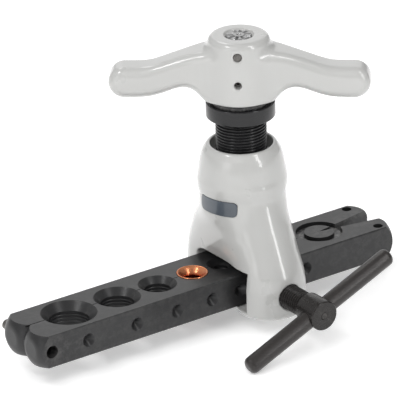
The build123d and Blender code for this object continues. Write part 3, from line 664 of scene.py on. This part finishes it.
def drill_screw(screw, radius=4.35, half_length=12.0, sides=64):
    """Cut the tommy bar's cross hole."""
    angles = [2 * math.pi * i / sides for i in range(sides)]
    verts = beside_tommy([end for end in (-half_length, half_length) for _ in angles],
                         [radius * math.cos(a) for a in angles] * 2,
                         [radius * math.sin(a) for a in angles] * 2)
    faces = [(i, (i + 1) % sides, sides + (i + 1) % sides, sides + i) for i in range(sides)]
    faces += [tuple(range(sides - 1, -1, -1)), tuple(range(sides, 2 * sides))]
    mesh = bpy.data.meshes.new("cutter")
    mesh.from_pydata((verts / 1000).tolist(), [], faces)
    mesh.update()
    cutter = bpy.data.objects.new("cutter", mesh)
    bpy.context.scene.collection.objects.link(cutter)
    hole = screw.modifiers.new("hole", "BOOLEAN")
    hole.operation = "DIFFERENCE"
    hole.solver = "EXACT"
    hole.object = cutter
    evaluated = screw.evaluated_get(bpy.context.evaluated_depsgraph_get())
    drilled = bpy.data.meshes.new_from_object(evaluated)
    screw.modifiers.remove(hole)
    screw.data = drilled
    drilled.shade_smooth()
    drilled.set_sharp_from_angle(angle=math.radians(40))
    bpy.data.objects.remove(cutter)


def build_tommy_bar():
    length, radius, end_round = 88.5, 4.2, 2.7
    shift = 1.0                                        # off centre along the bar
    profile = [(0, 0.0), (0.9, 0.0)]
    profile += arc(radius - end_round, end_round, end_round, -82, 0, 8)
    profile += [(radius, z) for z in (12, 30, 58, length - 12)]
    profile += arc(radius - end_round, length - end_round, end_round, 0, 82, 8)
    profile += [(0.9, length), (0, length)]
    verts, faces = lathe(profile, 72)
    verts = beside_tommy(verts[:, 2] - length / 2 + shift, verts[:, 0], verts[:, 1])
    new_mesh("tommy_bar_turned", verts, [face[::-1] for face in faces], "tommy_body", TOMMY,
             replaces="tommy_bar", sharp_deg=50)


drill_screw(build_screw())
build_tommy_bar()


# ---------------------------------------------------------------- flared copper tube
def build_tube():
    outer, wall = 4.74, 0.9
    inner = outer - wall
    centre_x = float((TUBE_LOW[0] + TUBE_HIGH[0]) / 2)
    flare_r, flare_z, flare_size = outer + 0.3, -2.5, 2.3
    # radius, z above the bar top: up the outside, round the lip, down the inside
    profile = [(inner, -15.35), (outer - 0.1, -15.4), (outer, -15.3), (outer, -3.2),
               (outer + 0.06, -2.86), (flare_r, flare_z)]
    profile += [(flare_r + flare_size * k, flare_z + flare_size * k) for k in (0.25, 0.5, 0.75, 1.0)]
    profile += [(7.42, -0.08)] + arc(7.12, 0.06, 0.30, 10, 100, 5)
    profile += [(6.86, 0.30), (6.6, 0.14), (6.0, -0.40), (5.2, -1.2), (4.5, -1.92), (4.1, -2.36),
                (inner + 0.02, -2.9), (inner, -3.6)]
    verts, faces = lathe([(r, BAR_TOP + z) for r, z in profile], 120, axis_xy=(centre_x, 0.0))
    new_mesh("copper_tube_flared", verts, faces, "die_rear_body", COPPER, replaces="copper_tube",
             sharp_deg=60)


build_tube()

# ---------------------------------------------------------------- painted shade of the split seam, on the rear die half
# rims that interrupt the seam: x of centre, width
RIMS = [(-99.3, 26.4), (-72.4, 22.2), (-49.7, 18.4), (-29.9, 15.2), (-13.8, 13.0), (0.0, 11.0),
        (12.7, 9.0), (24.0, 7.0)]
SEAM_START, SEAM_END, RIM_GAP = -123.0, 31.5, 0.15
SEAM_Y = (0.06, 0.42)
SEAM_Z = (-0.4, 0.03)                                  # above the bar top
BOX_FACES = [(0, 3, 2, 1), (4, 5, 6, 7), (0, 1, 5, 4), (1, 2, 6, 5), (2, 3, 7, 6), (3, 0, 4, 7)]


def build_seam():
    """Thin dark boxes along the inner edge, one between each two rims: painted shade of the split
    between the die halves.
    """
    starts = [SEAM_START] + [x + width / 2 + RIM_GAP for x, width in RIMS]
    ends = [x - width / 2 - RIM_GAP for x, width in RIMS] + [SEAM_END]
    near, far = SEAM_Y
    verts, faces = [], []
    for a, b in zip(starts, ends):
        faces += [[len(verts) + k for k in face] for face in BOX_FACES]
        verts += [(x, y, BAR_TOP + z) for z in SEAM_Z
                  for x, y in ((a, near), (b, near), (b, far), (a, far))]
    # painted shade: near black, darker than the die steel, standing for the shadow in the split
    split_shade_material = steel_material("painted_split_shade", (0.003, 0.003, 0.003), (0.005, 0.005, 0.005),
                           rough=(0.6, 0.7), metallic=0.0, specular=0.1, wear=0)
    new_mesh("split_seam", verts, faces, "die_rear_body", split_shade_material, smooth=False)


build_seam()


# ---------------------------------------------------------------- stage, light, camera (m)
def build_floor():
    lowest = min(corner[2] for corner in CAD_BOX)
    bpy.ops.mesh.primitive_plane_add(size=14.0, location=(0, 0, lowest - 0.0003))
    floor = bpy.context.object
    floor.name = "floor"
    s = Surface("pale_floor", textured=False)
    s.put("Base Color", (0.93, 0.93, 0.93))
    s.put("Roughness", 0.9)
    s.put("Specular IOR Level", 0.1)
    s.put("Emission Color", (1.0, 1.0, 1.0))
    s.put("Emission Strength", 0.30)
    floor.data.materials.append(s.material)


def build_world():
    """White to the camera; to the product, grey that brightens upwards and dims to one side."""
    world = bpy.data.worlds.new("studio")
    bpy.context.scene.world = world
    n = Nodes(world)
    output, chooser, path = n.add("OutputWorld"), n.add("MixShader"), n.add("LightPath")
    studio, backdrop = n.add("Background"), n.add("Background")
    direction = n.add("TexCoord").outputs["Generated"]
    split = n.add("SeparateXYZ")
    n.feed(split.inputs[0], direction)
    ramp = n.add("ValToRGB")
    ramp.color_ramp.elements.new(0.5)
    # height, grey level
    for stop, (height, grey) in zip(ramp.color_ramp.elements,
                                    [(0.0, 0.55), (0.35, 0.75), (1.0, 0.80)]):
        stop.position = height
        stop.color = (grey, grey, grey, 1)
    n.feed(ramp.inputs[0], split.outputs[2])
    n.feed(studio.inputs[0], ramp.outputs[0])
    sideways = n.add("VectorMath")
    sideways.operation = "DOT_PRODUCT"
    n.feed(sideways.inputs[0], direction)
    sideways.inputs[1].default_value = (0.822, -0.570, 0.0)
    n.feed(studio.inputs[1],
           n.remap(sideways.outputs["Value"], span=(-1.0, 1.0), to=(0.92, 0.42)))
    n.feed(backdrop.inputs[0], (1.0, 1.0, 1.0))
    n.feed(backdrop.inputs[1], 1.0)
    n.feed(chooser.inputs[0], path.outputs["Is Camera Ray"])
    n.feed(chooser.inputs[1], studio.outputs[0])
    n.feed(chooser.inputs[2], backdrop.outputs[0])
    n.feed(output.inputs[0], chooser.outputs[0])


# name, location, height aimed at on the axis, width, length, power
LIGHTS = [
    ("key", (-0.75, -0.55, 0.95), 0.04, 0.7, 0.7, 6.4),
    ("left", (-1.2, -0.25, 0.3), 0.04, 0.5, 0.5, 1.0),
    ("fill", (0.31, -1.06, 0.5), 0.04, 0.16, 0.8, 3.0),
    ("far", (0.80, 1.13, 0.62), 0.05, 1.2, 1.2, 2.6),
    ("back", (0.15, 0.9, 1.3), 0.05, 0.5, 0.5, 2.2),
    ("spot_left", (-0.80, 0.03, 1.06), 0.06, 0.24, 0.24, 2.1),
    ("spot_right", (0.29, -0.75, 1.06), 0.06, 0.24, 0.24, 1.7),
]


def build_lights():
    for name, location, aim, width, length, power in LIGHTS:
        light = bpy.data.lights.new(name, "AREA")
        light.energy = power
        light.shape = "RECTANGLE"
        light.size = width
        light.size_y = length
        lamp = bpy.data.objects.new(name, light)
        lamp.location = location
        toward = Vector((0, 0, aim)) - Vector(location)
        lamp.rotation_euler = toward.to_track_quat("-Z", "Y").to_euler()
        lamp.visible_glossy = name != "key"            # the key leaves no highlight
        bpy.context.scene.collection.objects.link(lamp)


def build_camera():
    """Long lens, close to a parallel view, looking down from the front left."""
    yaw, pitch, roll = [math.radians(a) for a in (34.722, 24.113, 1.655)]
    forward = Vector((math.sin(yaw) * math.cos(pitch), math.cos(yaw) * math.cos(pitch),
                      -math.sin(pitch)))
    level = Vector((math.cos(yaw), -math.sin(yaw), 0.0))
    below = forward.cross(level)
    right = math.cos(roll) * level + math.sin(roll) * below
    down = -math.sin(roll) * level + math.cos(roll) * below
    lens = bpy.data.cameras.new("cam")
    lens.sensor_fit = "HORIZONTAL"
    lens.sensor_width = 36.0
    lens.lens = 431.11116
    lens.clip_start, lens.clip_end = 0.1, 50.0
    camera = bpy.data.objects.new("cam", lens)
    bpy.context.scene.collection.objects.link(camera)
    place = Vector((-1.179382, -1.666753, 0.943129 + BAR_TOP / 1000.0))
    rotation = Matrix((right, -down, -forward)).transposed()
    camera.matrix_world = Matrix.Translation(place) @ rotation.to_4x4()
    bpy.context.scene.camera = camera


build_floor()
build_world()
build_lights()
build_camera()
view = bpy.context.scene.view_settings
view.view_transform = "Standard"
view.look = "None"
